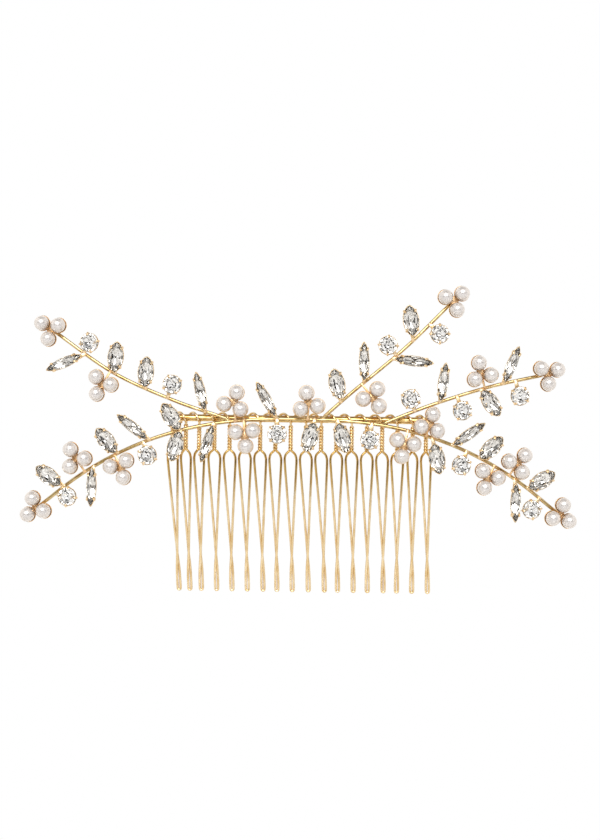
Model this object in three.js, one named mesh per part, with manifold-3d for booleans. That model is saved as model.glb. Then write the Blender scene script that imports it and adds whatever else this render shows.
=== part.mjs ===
// Decorative hair comb: a wire comb with a sprayed, flowering front of pearls and cut crystals.
// Millimetres. +X along the spine, -Y toward the viewer, +Z up, tines hang toward -Z.
// The origin is the middle of the spine's axis.
import * as THREE from "three";
import { mergeVertices } from "three/addons/utils/BufferGeometryUtils.js";
import Module from "manifold-3d";

const wasm = await Module();
wasm.setup();

// ---- driving sizes ------------------------------------------------------------------------
const SPINE_D = 1.9;            // polished core bar
const SPINE_OVERHANG = 1.76;    // past the first and last tines
const WIRE_D = 0.7;             // tine wire
const WRAP_GAP = 0.16;          // between the core bar and the wire wrapped over it
const TINE_COUNT = 18;
const TINE_PITCH = 4.12;
const END_PITCH = 3.6;          // the gaps nearest the ends are closer
const CLOSE_GAPS_LEFT = 2;
const CLOSE_GAPS_RIGHT = 1;
const TINES_PER_RUN = 3;
const LEG_GAP = 0.25;           // between the legs of neighbouring tines
const SHANK_W = 1.3;            // twisted pair
const SHANK_T = 0.8;
const SHANK_END = 9.2;          // depth below the spine where the two legs part
const SHOULDER = 11.2;          // depth where the legs stand widest
const CROSSING = 37;            // depth where the legs cross
const TINE_LENGTH = 47.1;       // depth of the rounded tips
const TIP_HALF = 0.41;          // half the distance between the two wires at the tip
const CROSS_HALF = 0.42;        // half the distance between them where they cross
const TINE_BOW = 3;             // how far the tips curve toward the head
const TINE_LEANS = [2.2, 1.5, 1.0, 1.05, 1.1, 1.15, 1.3, 0.95, 1.0, 1.25, 1.5, 0.95, 1.1, 0.8, 1.0, 0.5,
  0.5, 1.2];                    // sideways lean of each hand-bent tip

const WIRE_SIDES = 4;          // facets of the thin wires

const STEM_D = 1.0;
const STEM_GAP = 0.1;           // between the wraps and the stems lying on them
const HALF_SPAN = 70.4;         // main stem, middle to end
const STEM_DROP = 24.6;         // how far its ends hang below its middle
const STEM_BEND = 2.5;          // exponent of the bow
const SOLDER_HALF = 20;         // the stem lies on the comb this far each side of the middle
const SWEEP_BACK = 4;           // the spray's ends curve this far back toward the head
const JOINT_GAP = 0.12;

const SEAT_GAP = 0.1;           // between a stem and the settings on its front
const PLATE_T = 0.4;
const FOOT_W = 0.9;
const PEARL_D = 4.0;
const PEARL_SEAT = 0.3;         // depth that a pearl sinks in its cup
const PEARL_GAP = 0.59;         // between the three pearls of a cluster
const CUP_MARGIN = 0.1;
const ROUND_D = 5.2;            // round crystal over its setting
const WIDE_L = 8.5;
const WIDE_W = 4.7;
const SLIM_L = 10.8;
const SLIM_W = 2.9;
const STONE_H = 2.4;            // setting and stone together
const BASE_STEP = 0.2;          // a long stone's inner tip from the stem's axis
const FOOT_STOP = 0.1;          // a solder foot stops this far short of the stem's axis

const PEARL_R = PEARL_D / 2;
const TRIO_R = (PEARL_D + PEARL_GAP) / Math.sqrt(3);   // pearl centres from the middle
const WRAP_R = SPINE_D / 2 + WRAP_GAP + WIRE_D / 2;
const STEM_Y = -(WRAP_R + WIRE_D / 2 + STEM_GAP + STEM_D / 2);
const SEAT_Z = STEM_D / 2 + SEAT_GAP;

// ---- stems: sideways and upward points, root first -----------------------------------------
const mainDrop = (x) => -STEM_DROP * Math.pow(Math.abs(x) / HALF_SPAN, STEM_BEND);
const rootOn = (x) => [x, mainDrop(x) + STEM_D + JOINT_GAP];

const ARMS = {
  lower_left: { hand: -1, points: mainHalf(-1) },
  lower_right: { hand: 1, points: mainHalf(1) },
  upper_left: { hand: -1, points: [rootOn(-20), [-33.9, 4.6], [-50.5, 11.9], [-66.6, 22.8]] },
  upper_right: { hand: 1, points: [rootOn(6.9), [13.8, 7.2], [28.0, 19.4], [40.7, 32.1]] },
  side_right: { hand: 1, points: [rootOn(23.5), [35.4, 4.3], [50.7, 9.3], [65.5, 12.8]] },
};

// What sits on each arm: kind, distance along the arm and side (1 above, -1 below). A stone has
// its lean from the arm's heading, square when not given, and three pearls their turn from it.
// stand is the distance from the stem's axis to a stone's edge, BASE_STEP when not given, or to
// the ring of the three pearls' centres. Where a pearl reaches across the stem, what it has to
// clear is placed from the pearls' size. "with" joins a stone to the one it shares a solder point with.
const LAYOUT = {
  lower_left: [
    { kind: "slim", at: 6, side: 1, lean: 61, stand: 0.7, name: "slim_a" },
    { kind: "round", at: 6, side: -1, stand: 1.4, with: "slim_a" },
    { kind: "trio", at: 15, side: -1, turn: 91, stand: 1.6 },
    { kind: "trio", at: 17.2, side: 1, turn: 7, stand: 2.5 },
    { kind: "slim", at: 23.1, side: -1, lean: 63, name: "slim_b" },
    { kind: "wide", at: 32.2, side: 1, lean: 71, stand: 0.1, name: "wide_a" },
    { kind: "wide", at: 32.2, side: -1, lean: 60, with: "wide_a" },
    { kind: "slim", at: 41, side: 1, lean: 58, name: "slim_c" },
    { kind: "round", at: 42.8, side: -1, stand: 1.2, with: "slim_c" },
    { kind: "wide", at: 50.3, side: 1, lean: 76, name: "wide_b" },
    { kind: "trio", at: 51.2, side: -1, turn: 84, stand: 1.3 },
    { kind: "slim", at: 57.8, side: -1, lean: 57, stand: 0.1, name: "slim_d" },
    { kind: "trio", at: 60.5, side: 1, turn: 26, stand: 1.6 },
    { kind: "wide", at: 67.4, side: 1, lean: 72, stand: 0.6, name: "wide_c" },
    { kind: "round", at: 68.2, side: -1, stand: 0.3, with: "wide_c" },
    { kind: "trio", end: 0.54, turn: 5 },
  ],
  lower_right: [
    { kind: "trio", at: 2.2, side: 1, turn: 102, stand: 1.8 },
    { kind: "wide", at: 4.1, side: -1, lean: 104, stand: 0.7, name: "wide_a" },
    { kind: "wide", at: 10.2, side: -1, lean: 71, stand: 0.7, name: "wide_b" },
    { kind: "round", at: 19.5, side: -1, stand: 1.8, name: "round_a" },
    { kind: "trio", at: 29.3, side: -1, turn: 29, stand: 1.8 },
    { kind: "trio", at: 34.4, side: 1, turn: 93, stand: 0.7 },
    { kind: "wide", at: 36.2, side: -1, lean: 61, stand: 1.5, name: "wide_c" },
    { kind: "slim", at: 41.9, side: 1, lean: 56, stand: -0.2, name: "slim_a" },
    { kind: "round", at: 46.2, side: -1, stand: 1.5, name: "round_b" },
    { kind: "wide", at: 50.1, side: 1, lean: 70, stand: -0.3, name: "wide_d" },
    { kind: "trio", at: 54.7, side: -1, turn: 35, stand: 1.3 },
    { kind: "trio", at: 59.4, side: 1, turn: 83, stand: PEARL_R - 0.7 },
    { kind: "slim", at: 59.95 + TRIO_R / 2, side: -1, lean: 57, stand: 1, name: "slim_b" },
    { kind: "wide", at: 65.5, side: 1, lean: 68, stand: -0.1, name: "wide_e" },
    { kind: "round", at: 68.47 + TRIO_R / 2, side: -1, stand: 1.3, name: "round_c" },
    { kind: "trio", end: 0.43, turn: 119 },
  ],
  upper_left: [
    { kind: "slim", at: 5.5, side: 1, lean: 59, name: "slim_a" },
    { kind: "round", at: 16.4, side: 1, stand: 1.2, name: "round_a" },
    { kind: "wide", at: 22.9, side: 1, lean: 71, name: "wide_a" },
    { kind: "wide", at: 32.1, side: 1, lean: 67, name: "wide_b" },
    { kind: "trio", at: 33.4, side: -1, turn: 93, stand: 1.7 },
    { kind: "slim", at: 41.6, side: -1, lean: 58, stand: 0.6, name: "slim_b" },
    { kind: "round", at: 42.4, side: 1, stand: 0.7, with: "slim_b" },
    { kind: "trio", end: 0.98, turn: 117 },
  ],
  upper_right: [
    { kind: "wide", at: 5.5, side: 1, lean: 61, stand: 0.7, name: "wide_a" },
    { kind: "trio", at: 12.9, side: -1, turn: 26, stand: 2.1 },
    { kind: "slim", at: 13.7, side: 1, lean: 51, stand: 0.2, name: "slim_a" },
    { kind: "slim", at: 23.7, side: -1, lean: 47, name: "slim_b" },
    { kind: "round", at: 25, side: 1, stand: 1, with: "slim_b" },
    { kind: "wide", at: 31, side: 1, lean: 54, stand: 1.1, name: "wide_b" },
    { kind: "round", at: 37.2, side: -1, stand: 1, name: "round_a" },
    { kind: "trio", end: 0.52, turn: 118 },
  ],
  side_right: [
    { kind: "round", at: 8.1, side: 1, stand: 0.9, name: "round_a" },
    { kind: "slim", at: 15.1, side: 1, lean: 63, stand: 0, name: "slim_a" },
    { kind: "round", at: 20.1, side: -1, stand: 1.4, name: "round_b" },
    { kind: "wide", at: 26.7, side: -1, lean: 71, stand: 0.2, name: "wide_a" },
    { kind: "trio", at: 27.9, side: 1, turn: 90, stand: 1.7 },
    { kind: "slim", at: 32.9, side: 1, lean: 54, name: "slim_b" },
    { kind: "round", at: 36.5, side: -1, stand: 1.6, with: "slim_b" },
    { kind: "trio", end: 1.28, turn: 14 },
  ],
};

// ---- materials -----------------------------------------------------------------------------
function finish(name, color, roughness, metalness) {
  return new THREE.MeshStandardMaterial({ name, color, roughness, metalness });
}

const gold = (name) => finish(name, 0xd9a441, 0.22, 1);
const pearl = () => finish("pearl", 0xe8e2e2, 0.3, 0);
const crystal = () => finish("crystal", 0xe4e6ea, 0.08, 0.1);

// ---- helpers -------------------------------------------------------------------------------
/** A path that passes straight between its points, stepped point by point. */
class PointPath extends THREE.Curve {
  constructor(points) {
    super();
    this.points = points;
  }
  getPoint(t) {
    const last = this.points.length - 1;
    const s = Math.min(Math.max(t, 0), 1) * last;
    const i = Math.min(Math.floor(s), last - 1);
    return new THREE.Vector3().lerpVectors(this.points[i], this.points[i + 1], s - i);
  }
  getTangent(t) {
    const last = this.points.length - 1;
    const i = Math.round(Math.min(Math.max(t, 0), 1) * last);
    const before = this.points[Math.max(i - 1, 0)];
    const here = this.points[i];
    const after = this.points[Math.min(i + 1, last)];
    const into = new THREE.Vector3().subVectors(here, before).normalize();
    const out = new THREE.Vector3().subVectors(after, here).normalize();
    return into.add(out).normalize();
  }
  getUtoTmapping(u) {
    return u;
  }
}

/** Geometry to a manifold solid. */
function solid(geometry) {
  const bare = geometry.index ? geometry.toNonIndexed() : geometry.clone();
  bare.deleteAttribute("normal");
  bare.deleteAttribute("uv");
  const merged = mergeVertices(bare, 1e-5);
  const mesh = new wasm.Mesh({
    numProp: 3,
    vertProperties: new Float32Array(merged.attributes.position.array),
    triVerts: new Uint32Array(merged.index.array),
  });
  return new wasm.Manifold(mesh);
}

/** Manifold solid back to a geometry. */
function toGeometry(body) {
  const mesh = body.getMesh();
  const stride = mesh.numProp;
  const count = mesh.vertProperties.length / stride;
  const xyz = new Float32Array(count * 3);
  for (let i = 0; i < count; i += 1) {
    for (let axis = 0; axis < 3; axis += 1) {
      xyz[i * 3 + axis] = mesh.vertProperties[i * stride + axis];
    }
  }
  const geometry = new THREE.BufferGeometry();
  geometry.setAttribute("position", new THREE.BufferAttribute(xyz, 3));
  geometry.setIndex(new THREE.BufferAttribute(new Uint32Array(mesh.triVerts), 1));
  geometry.computeVertexNormals();
  return geometry;
}

/** One solid from several that overlap. */
function joined(geometries) {
  let body = solid(geometries[0]);
  for (const other of geometries.slice(1)) {
    body = body.add(solid(other));
  }
  return toGeometry(body);
}

/** Round wire swept through points. */
function wire(points, diameter, sides) {
  const section = new THREE.Shape();
  for (let i = 0; i < sides; i += 1) {
    const a = (i / sides) * Math.PI * 2;
    const x = Math.cos(a) * diameter / 2;
    const y = Math.sin(a) * diameter / 2;
    if (i === 0) {
      section.moveTo(x, y);
    } else {
      section.lineTo(x, y);
    }
  }
  section.closePath();
  const extrudePath = new PointPath(points);
  const steps = points.length - 1;
  return new THREE.ExtrudeGeometry(section, { steps, extrudePath, curveSegments: 1 });
}

/** How far back the spray has curved at a sideways place, and its slope there. */
function sweepBack(x) {
  const span = HALF_SPAN - SOLDER_HALF;
  const past = Math.max(0, Math.abs(x) - SOLDER_HALF) / span;
  return { y: SWEEP_BACK * past * past, slope: Math.sign(x) * SWEEP_BACK * 2 * past / span };
}

function mainHalf(hand) {
  const points = [];
  const parts = 6;
  for (let i = 0; i <= parts; i += 1) {
    const x = hand * HALF_SPAN * (i / parts);
    points.push([x, mainDrop(x)]);
  }
  return points;
}

/** The arm's axis, curved back as the spray is. */
function armCurve(points) {
  const flat = new THREE.CatmullRomCurve3(points.map(([x, z]) => new THREE.Vector3(x, 0, z)));
  return flat;
}

function onSpray(x, z) {
  return new THREE.Vector3(x, STEM_Y + sweepBack(x).y, z);
}

/** Axes of a piece that lies on the spray at (x, z) and points along an angle in degrees. */
function seatMatrix(x, z, angle) {
  const a = THREE.MathUtils.degToRad(angle);
  const tilt = Math.atan(sweepBack(x).slope);
  const along = new THREE.Vector3(Math.cos(a) * Math.cos(tilt), Math.cos(a) * Math.sin(tilt), Math.sin(a));
  const front = new THREE.Vector3(Math.sin(tilt), -Math.cos(tilt), 0);
  const across = new THREE.Vector3().crossVectors(front, along);
  const matrix = new THREE.Matrix4().makeBasis(along, across, front);
  matrix.setPosition(onSpray(x, z));
  return matrix;
}

/** A flat solder foot from a piece's middle back to the stem, on the seating plane. */
function foot(length) {
  const bar = new THREE.BoxGeometry(length, FOOT_W, PLATE_T);
  bar.translate(-length / 2, 0, SEAT_Z + PLATE_T / 2);
  return bar;
}

// ---- stones and pearls, built lying on X with the front toward +Z ---------------------------
function roundStone() {
  const r = ROUND_D / 2;
  const profile = [
    [0, 0], [r * 0.62, 0], [r, STONE_H * 0.64], [r * 0.5, STONE_H], [0, STONE_H],
  ].map(([x, y]) => new THREE.Vector2(x, y));
  const stone = new THREE.LatheGeometry(profile, 8);
  stone.rotateX(Math.PI / 2);
  stone.translate(0, 0, SEAT_Z);
  return stone;
}

function longStone(length, width) {
  const outline = new THREE.Shape();
  const half = 4;
  for (let i = 0; i < half * 2; i += 1) {
    const a = (i / half) * Math.PI;
    const x = Math.cos(a) * length / 2;
    const y = Math.sign(Math.sin(a)) * Math.pow(Math.abs(Math.sin(a)), 1.25) * width / 2;
    if (i === 0) {
      outline.moveTo(x, y);
    } else {
      outline.lineTo(x, y);
    }
  }
  outline.closePath();
  const bevel = width * 0.24;
  const rise = STONE_H * 0.36;
  const stone = new THREE.ExtrudeGeometry(outline, {
    depth: STONE_H - 2 * rise,
    bevelEnabled: true,
    bevelThickness: rise,
    bevelSize: bevel,
    bevelOffset: -bevel,
    bevelSegments: 1,
    curveSegments: 1,
  });
  stone.translate(0, 0, SEAT_Z + rise);
  return stone;
}

const STONES = {
  round: roundStone,
  wide: () => longStone(WIDE_L, WIDE_W),
  slim: () => longStone(SLIM_L, SLIM_W),
};

function pearlTrio() {
  const lobe = PEARL_R + CUP_MARGIN;
  const plate = new THREE.Shape();
  const bodies = [];
  for (let k = 0; k < 3; k += 1) {
    const out = (k / 3) * Math.PI * 2;
    for (let i = -2; i <= 2; i += 1) {
      const a = out + THREE.MathUtils.degToRad(54 * i);
      const x = Math.cos(out) * TRIO_R + Math.cos(a) * lobe;
      const y = Math.sin(out) * TRIO_R + Math.sin(a) * lobe;
      if (k === 0 && i === -2) {
        plate.moveTo(x, y);
      } else {
        plate.lineTo(x, y);
      }
    }
    const ball = new THREE.SphereGeometry(PEARL_R, 8, 5);
    ball.rotateX(Math.PI / 2);
    const rise = SEAT_Z + PLATE_T - PEARL_SEAT + PEARL_R;
    ball.translate(Math.cos(out) * TRIO_R, Math.sin(out) * TRIO_R, rise);
    bodies.push(ball);
  }
  plate.closePath();
  const flat = { depth: PLATE_T, bevelEnabled: false, curveSegments: 1 };
  const sheet = new THREE.ExtrudeGeometry(plate, flat);
  sheet.translate(0, 0, SEAT_Z);
  return [sheet, ...bodies];
}

/** Where an arm has got to at a share of its length: its place and its heading in degrees. */
function station(arm, share) {
  const at = arm.curve.getPointAt(share);
  const way = arm.curve.getTangentAt(share);
  return { at, way, heading: THREE.MathUtils.radToDeg(Math.atan2(way.z, way.x)) };
}

/** Three pearls past an arm's end, as geometries that overlap. */
function placedAtEnd(arm, row) {
  const { at, way, heading } = station(arm, 1);
  const seat = seatMatrix(at.x + way.x * row.end, at.z + way.z * row.end, heading + row.turn);
  return pearlTrio().map((each) => each.applyMatrix4(seat));
}

/** Three pearls or a stone beside an arm with its solder foot, as geometries that overlap. */
function placedBeside(arm, row) {
  const { at, heading } = station(arm, row.at / arm.length);
  const angle = heading + arm.hand * row.side * (row.lean ?? 90);
  const halves = { slim: SLIM_L / 2, wide: WIDE_L / 2, round: ROUND_D / 2, trio: TRIO_R };
  const reach = halves[row.kind] + (row.stand ?? BASE_STEP);
  const a = THREE.MathUtils.degToRad(angle);
  const x = at.x + Math.cos(a) * reach;
  const z = at.z + Math.sin(a) * reach;
  const back = foot(reach - FOOT_STOP);
  back.applyMatrix4(seatMatrix(x, z, angle));
  if (row.kind === "trio") {
    const seat = seatMatrix(x, z, heading + row.turn);
    return [...pearlTrio().map((each) => each.applyMatrix4(seat)), back];
  }
  const stone = STONES[row.kind]();
  stone.applyMatrix4(seatMatrix(x, z, angle));
  return [stone, back];
}

/** The geometries of one layout row in place. */
function placed(arm, row) {
  return row.end === undefined ? placedBeside(arm, row) : placedAtEnd(arm, row);
}

/** A strip of solder along the front of a stem, between two stations. */
function solderStrip(arm, from, to) {
  const middle = (from + to) / 2;
  const { at, heading } = station(arm, middle / arm.length);
  const strip = new THREE.BoxGeometry(Math.abs(to - from) + FOOT_W, FOOT_W, PLATE_T);
  strip.translate(0, 0, SEAT_Z + PLATE_T / 2);
  strip.applyMatrix4(seatMatrix(at.x, at.z, heading));
  return strip;
}

// ---- comb ----------------------------------------------------------------------------------
function tinePlaces() {
  const gaps = [];
  for (let i = 0; i < TINE_COUNT - 1; i += 1) {
    const close = i < CLOSE_GAPS_LEFT || i >= TINE_COUNT - 1 - CLOSE_GAPS_RIGHT;
    gaps.push(close ? END_PITCH : TINE_PITCH);
  }
  const total = gaps.reduce((a, b) => a + b, 0);
  const places = [-total / 2];
  for (const gap of gaps) {
    places.push(places[places.length - 1] + gap);
  }
  return places;
}

function bowBack(depth) {
  const past = Math.max(0, depth - SHANK_END) / (TINE_LENGTH - SHANK_END);
  return TINE_BOW * past * past;
}

function leanAt(depth, lean) {
  const past = Math.max(0, depth - SHANK_END) / (TINE_LENGTH - SHANK_END);
  return lean * past;
}

/** One hairpin: both legs, the crossing and the rounded tip, as one wire. */
function hairpin(x, spread, lean) {
  const tipTurn = TINE_LENGTH - WIRE_D / 2 - TIP_HALF;
  const half = [
    [0.16, 0, SHANK_END - 1.1],
    [spread * 0.45, 0, SHANK_END - 0.1],
    [spread * 0.86, 0, SHANK_END + 0.8],
    [spread, 0, SHOULDER],
    [spread * 0.55, CROSS_HALF * 0.45, SHOULDER + (CROSSING - SHOULDER) * 0.45],
    [spread * 0.12, CROSS_HALF * 0.95, SHOULDER + (CROSSING - SHOULDER) * 0.88],
    [0, CROSS_HALF, CROSSING],
    [-TIP_HALF * 0.75, CROSS_HALF * 0.7, CROSSING + (tipTurn - CROSSING) * 0.4],
    [-TIP_HALF, CROSS_HALF * 0.2, CROSSING + (tipTurn - CROSSING) * 0.75],
    [-TIP_HALF, 0, tipTurn],
  ];
  const turn = [
    [-TIP_HALF * 0.7, 0, tipTurn + TIP_HALF * 0.7],
    [0, 0, tipTurn + TIP_HALF],
    [TIP_HALF * 0.7, 0, tipTurn + TIP_HALF * 0.7],
  ];
  const right = half.map(([sx, sy, depth]) => [sx, -sy, depth]);
  const left = half.map(([sx, sy, depth]) => [-sx, sy, depth]).reverse();
  const all = [...right, ...turn, ...left];
  const points = all.map(([sx, sy, depth]) => {
    const px = x + leanAt(depth, lean) + sx;
    return new THREE.Vector3(px, bowBack(depth) + sy, -depth);
  });
  return wire(points, WIRE_D, WIRE_SIDES);
}

/** The twisted pair from the spine down to where the legs part. */
function shank(x) {
  const length = SHANK_END - WRAP_R + 0.2;
  const steps = 4;
  const bar = new THREE.CylinderGeometry(SHANK_W / 2, SHANK_W / 2, length, 6, steps);
  const p = bar.attributes.position;
  const turns = 1;
  for (let i = 0; i < p.count; i += 1) {
    const a = turns * Math.PI * (p.getY(i) / length);
    const px = p.getX(i);
    const pz = p.getZ(i) * (SHANK_T / SHANK_W);
    p.setXYZ(i, px * Math.cos(a) - pz * Math.sin(a), p.getY(i), px * Math.sin(a) + pz * Math.cos(a));
  }
  bar.rotateX(Math.PI / 2);
  bar.translate(x, 0, -WRAP_R - length / 2 + 0.1);
  return bar;
}

/** The wire going behind and over the core bar from one tine toward the next. */
function wrap(x, pitch, whole) {
  const turns = whole ? 1 : 0.86;
  const steps = whole ? 8 : 7;
  const points = [];
  for (let i = 0; i <= steps; i += 1) {
    const share = turns * (i / steps);
    const a = -Math.PI / 2 + share * Math.PI * 2;
    points.push(new THREE.Vector3(x + pitch * share, Math.cos(a) * WRAP_R, Math.sin(a) * WRAP_R));
  }
  return wire(points, WIRE_D, WIRE_SIDES);
}

/** Neighbouring tines bent from one length of wire. */
function tineRun(places, first) {
  const bodies = [];
  for (let k = first; k < first + TINES_PER_RUN; k += 1) {
    const x = places[k];
    const left = k > 0 ? x - places[k - 1] : Infinity;
    const right = k < TINE_COUNT - 1 ? places[k + 1] - x : Infinity;
    const spread = (Math.min(left, right) - WIRE_D - LEG_GAP) / 2;
    bodies.push(shank(x), hairpin(x, spread, TINE_LEANS[k]));
    if (k < TINE_COUNT - 1) {
      bodies.push(wrap(x, right, k < first + TINES_PER_RUN - 1));
    }
  }
  return joined(bodies);
}

// ---- assembly ------------------------------------------------------------------------------
const comb = new THREE.Group();
comb.name = "hair_comb";

function add(name, geometry, material) {
  const mesh = new THREE.Mesh(geometry, material);
  mesh.name = name;
  comb.add(mesh);
}

const places = tinePlaces();
const spineLength = places[TINE_COUNT - 1] - places[0] + 2 * SPINE_OVERHANG;
const core = new THREE.CylinderGeometry(SPINE_D / 2, SPINE_D / 2, spineLength, 10, 1);
core.rotateZ(Math.PI / 2);
add("comb_spine", core, gold("spine_gold"));

for (let first = 0; first < TINE_COUNT; first += TINES_PER_RUN) {
  const run = String(first / TINES_PER_RUN + 1).padStart(2, "0");
  add(`tine_run_${run}`, tineRun(places, first), gold("wire_gold"));
}

for (const arm of Object.values(ARMS)) {
  arm.curve = armCurve(arm.points);
  arm.length = arm.curve.getLength();
}

function stemPoints(arm, steps) {
  const points = [];
  for (let i = 0; i <= steps; i += 1) {
    const p = arm.curve.getPointAt(i / steps);
    points.push(onSpray(p.x, p.z));
  }
  return points;
}

const leftHalf = stemPoints(ARMS.lower_left, 12).reverse();
const rightHalf = stemPoints(ARMS.lower_right, 12).slice(1);
const mainPoints = [...leftHalf, ...rightHalf];
add("stem_main", wire(mainPoints, STEM_D, 6), gold("stem_gold"));
for (const side of ["upper_left", "upper_right", "side_right"]) {
  add(`stem_${side}`, wire(stemPoints(ARMS[side], 10), STEM_D, 6), gold("stem_gold"));
}

/** A stone, joined to the ones that share its solder point. */
function addStones(side, rows, row) {
  const arm = ARMS[side];
  const partners = rows.filter((other) => other.with === row.name);
  const group = [row, ...partners];
  const bodies = group.flatMap((each) => placed(arm, each));
  for (const other of partners) {
    bodies.push(solderStrip(arm, row.at, other.at));
  }
  const kinds = group.map((each) => each.kind).join("_and_");
  const letter = row.name.split("_")[1];
  add(`crystal_${side}_${kinds}_${letter}`, joined(bodies), crystal());
}

for (const [side, rows] of Object.entries(LAYOUT)) {
  const trios = rows.filter((row) => row.kind === "trio");
  trios.forEach((row, index) => {
    add(`pearls_${side}_${index + 1}`, joined(placed(ARMS[side], row)), pearl());
  });
  for (const row of rows.filter((each) => each.name !== undefined)) {
    addStones(side, rows, row);
  }
}

export default comb;
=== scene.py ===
"""A decorative hair comb: gold wire comb, curved stems, glass pearls and foiled cut crystals.

Metres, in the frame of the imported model: +X along the spine, -Y toward the viewer, +Z up.
"""

import logging
import math
import random
from dataclasses import dataclass, field
from enum import Enum

import bpy
from mathutils import Matrix, Vector


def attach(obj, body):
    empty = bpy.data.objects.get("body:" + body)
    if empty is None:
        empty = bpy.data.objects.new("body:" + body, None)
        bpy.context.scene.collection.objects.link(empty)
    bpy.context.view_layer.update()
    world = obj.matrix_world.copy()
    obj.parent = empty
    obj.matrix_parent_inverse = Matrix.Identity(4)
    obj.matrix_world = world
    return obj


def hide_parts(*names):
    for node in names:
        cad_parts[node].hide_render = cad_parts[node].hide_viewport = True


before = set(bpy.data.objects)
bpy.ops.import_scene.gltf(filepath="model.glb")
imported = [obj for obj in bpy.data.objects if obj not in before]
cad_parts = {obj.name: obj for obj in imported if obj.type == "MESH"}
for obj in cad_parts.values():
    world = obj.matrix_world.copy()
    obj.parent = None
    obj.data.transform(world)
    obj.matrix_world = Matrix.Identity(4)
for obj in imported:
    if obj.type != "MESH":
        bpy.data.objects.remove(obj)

LOG = logging.getLogger("hair_comb")
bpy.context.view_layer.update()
MM = 0.001
BODY = "root"


# ---- small tools --------------------------------------------------------------------------
def linear(hex_colour: str) -> tuple[float, float, float, float]:
    """Turn an sRGB hex colour to linear light.

    Args:
        hex_colour: six hex digits with a leading hash.

    Returns:
        Red, green, blue and an alpha of one.
    """
    parts = [int(hex_colour[i:i + 2], 16) / 255 for i in (1, 3, 5)]
    lin = [c / 12.92 if c <= 0.04045 else ((c + 0.055) / 1.055) ** 2.4 for c in parts]
    return (lin[0], lin[1], lin[2], 1.0)


def add_node(tree: bpy.types.NodeTree, kind: str, settings: dict | None = None,
             links: dict | None = None) -> bpy.types.Node:
    """Add a shader node, set it and link its inputs.

    Args:
        tree: the node tree.
        kind: the node's Blender type.
        settings: attribute or input name to value.
        links: input name to the output socket that feeds it.

    Returns:
        The new node.
    """
    node = tree.nodes.new(kind)
    for key, value in (settings or {}).items():
        if isinstance(key, int) or key in node.inputs:
            node.inputs[key].default_value = value
        else:
            setattr(node, key, value)
    for key, socket in (links or {}).items():
        tree.links.new(socket, node.inputs[key])
    return node


def new_finish(name: str) -> tuple[bpy.types.Material, bpy.types.NodeTree, bpy.types.NodeSocket]:
    """Start a material whose patterns lie on the piece's own coordinates.

    Args:
        name: the material's name.

    Returns:
        The material, its empty node tree and the socket that gives the place on the piece.
    """
    material = bpy.data.materials.new(name)
    material.use_nodes = True
    tree = material.node_tree
    tree.nodes.clear()
    return material, tree, add_node(tree, "ShaderNodeTexCoord").outputs["Object"]


def deselect() -> None:
    """Deselect every object."""
    if bpy.context.mode != "OBJECT":
        bpy.ops.object.mode_set(mode="OBJECT")
    bpy.ops.object.select_all(action="DESELECT")


def make_active(piece: bpy.types.Object) -> None:
    """Select one object and make it active.

    Args:
        piece: the object.
    """
    deselect()
    piece.select_set(True)
    bpy.context.view_layer.objects.active = piece


def tidy_shell(piece: bpy.types.Object, smooth_angle: float | None) -> None:
    """Merge doubles, point the faces outward and set the shading.

    Args:
        piece: the mesh object.
        smooth_angle: degrees under which edges are smooth, or None for flat facets.
    """
    make_active(piece)
    bpy.ops.object.mode_set(mode="EDIT")
    bpy.ops.mesh.select_all(action="SELECT")
    bpy.ops.mesh.remove_doubles(threshold=1e-6)
    bpy.ops.mesh.normals_make_consistent(inside=False)
    bpy.ops.object.mode_set(mode="OBJECT")
    if smooth_angle is None:
        bpy.ops.object.shade_flat()
    else:
        bpy.ops.object.shade_smooth_by_angle(angle=math.radians(smooth_angle))


def join(pieces: list[bpy.types.Object], name: str) -> bpy.types.Object:
    """Join several objects into one.

    Args:
        pieces: the objects, the first of which is kept.
        name: the joined object's name.

    Returns:
        The joined object.
    """
    deselect()
    for piece in pieces:
        piece.select_set(True)
    bpy.context.view_layer.objects.active = pieces[0]
    if len(pieces) > 1:
        bpy.ops.object.join()
    pieces[0].name = name
    pieces[0].data.name = name
    return pieces[0]


def copy_in_place(source: bpy.types.Object, name: str, place: Matrix) -> bpy.types.Object:
    """Copy a modelled piece with its own mesh, set in its place.

    Args:
        source: the piece modelled at the origin.
        name: the copy's name.
        place: where the copy goes.

    Returns:
        The copy, with its object at the origin.
    """
    mesh = source.data.copy()
    mesh.name = name
    mesh.transform(place)
    piece = bpy.data.objects.new(name, mesh)
    bpy.context.scene.collection.objects.link(piece)
    return piece


def remove(pieces: list[bpy.types.Object]) -> None:
    """Take away the patterns that copies were made from.

    Args:
        pieces: the pattern objects.
    """
    for piece in pieces:
        mesh = piece.data
        bpy.data.objects.remove(piece)
        bpy.data.meshes.remove(mesh)


def swept_wire(name: str, run: list[Vector], diameter: float, sides: int = 12) -> bpy.types.Object:
    """Draw wire along points as a closed round tube.

    Args:
        name: the piece's name.
        run: the points of the wire's axis, in millimetres.
        diameter: the wire's diameter in millimetres.
        sides: faces round the wire, a multiple of four.

    Returns:
        The wire as a mesh.
    """
    deselect()
    bpy.ops.curve.primitive_nurbs_path_add(location=(0, 0, 0))
    piece = bpy.context.object
    data = piece.data
    data.splines.clear()
    spline = data.splines.new("POLY")
    spline.points.add(len(run) - 1)
    for point, place in zip(spline.points, run):
        point.co = (place[0] * MM, place[1] * MM, place[2] * MM, 1.0)
    data.dimensions = "3D"
    data.twist_mode = "MINIMUM"
    data.bevel_depth = diameter * MM / 2
    data.bevel_resolution = max(0, sides // 4 - 1)
    data.use_fill_caps = True
    bpy.ops.object.convert(target="MESH")
    piece = bpy.context.object
    piece.name = name
    piece.data.name = name
    tidy_shell(piece, 50)
    return piece


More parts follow.
